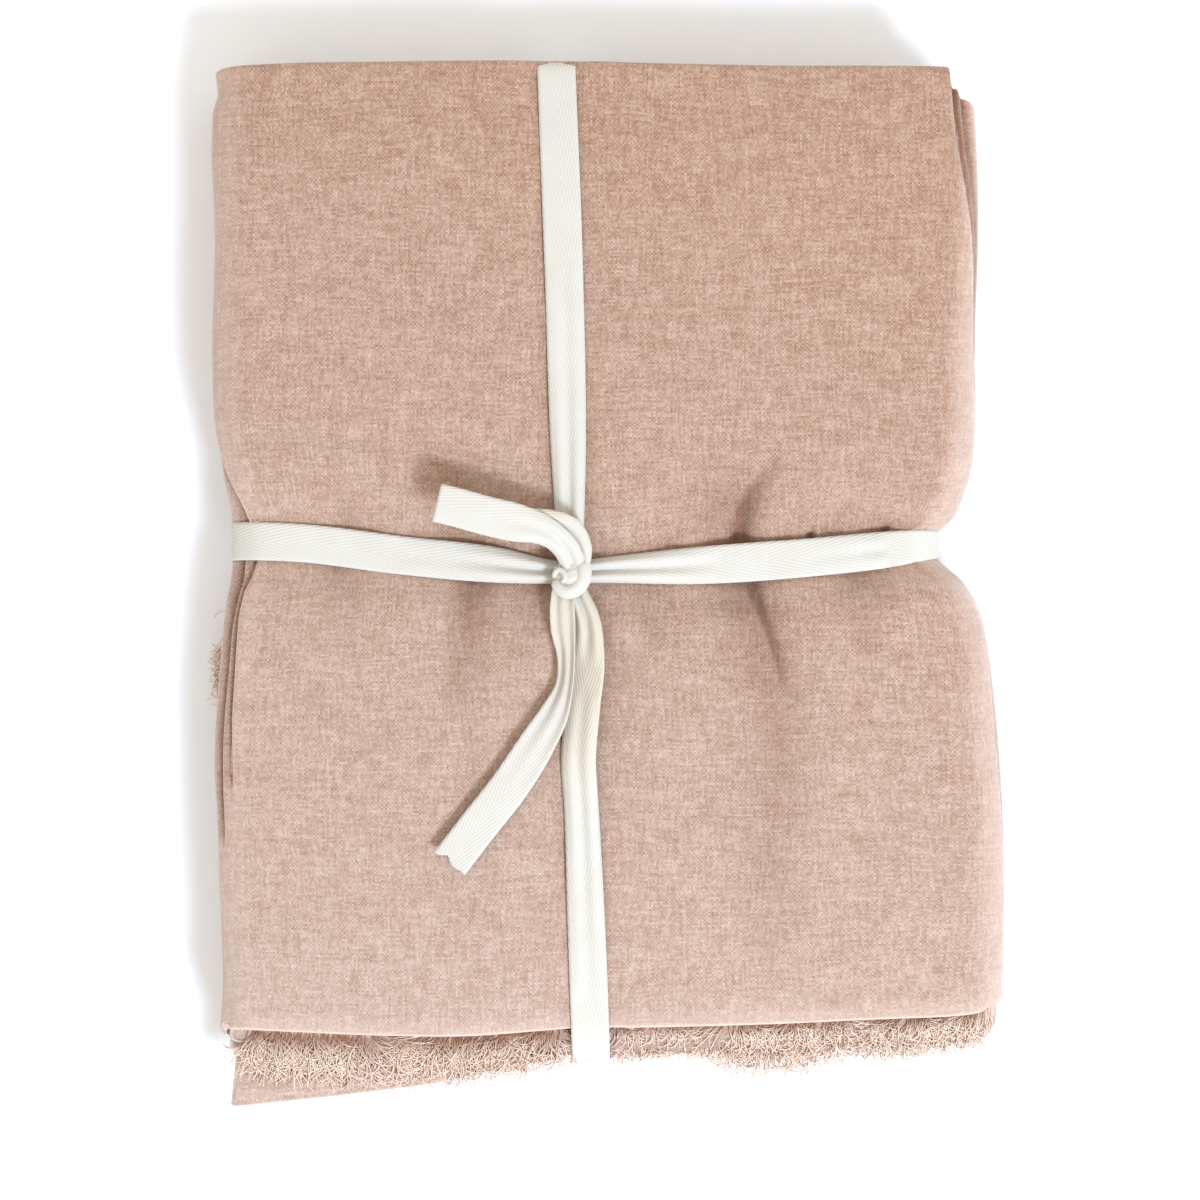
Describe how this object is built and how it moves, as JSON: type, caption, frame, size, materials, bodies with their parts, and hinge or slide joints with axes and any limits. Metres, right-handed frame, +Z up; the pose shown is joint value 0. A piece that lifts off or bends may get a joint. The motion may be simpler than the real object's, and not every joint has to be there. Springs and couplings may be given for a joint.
{
  "type": "folded linen tablecloth tied with tape",
  "caption": "Washed linen tablecloth folded into a flat oblong pack, raw frayed edges at one end, tied crosswise and lengthwise with cotton tape and a knot.",
  "frame": {"origin": "middle of the whole pack's box, on the surface that it lies on", "axes": "+X towards the wide rounded fold, +Y towards the smooth folded end and away from the frayed one, +Z up through the layers towards the knot"},
  "size_m": [0.3168, 0.4088, 0.0595],
  "materials": {
    "linen": "matt washed plain weave, blush pink with tan threads",
    "frayed_thread": "matt loose curled thread ends, pale blush",
    "cotton_tape": "matt cream herringbone twill"
  },
  "bodies": {
    "root": {"cloth": "linen", "fringe_upper": "frayed_thread", "fringe_middle": "frayed_thread", "fringe_lower": "frayed_thread", "fringe_side": "frayed_thread", "tape": "cotton_tape"}
  },
  "joints": []
}
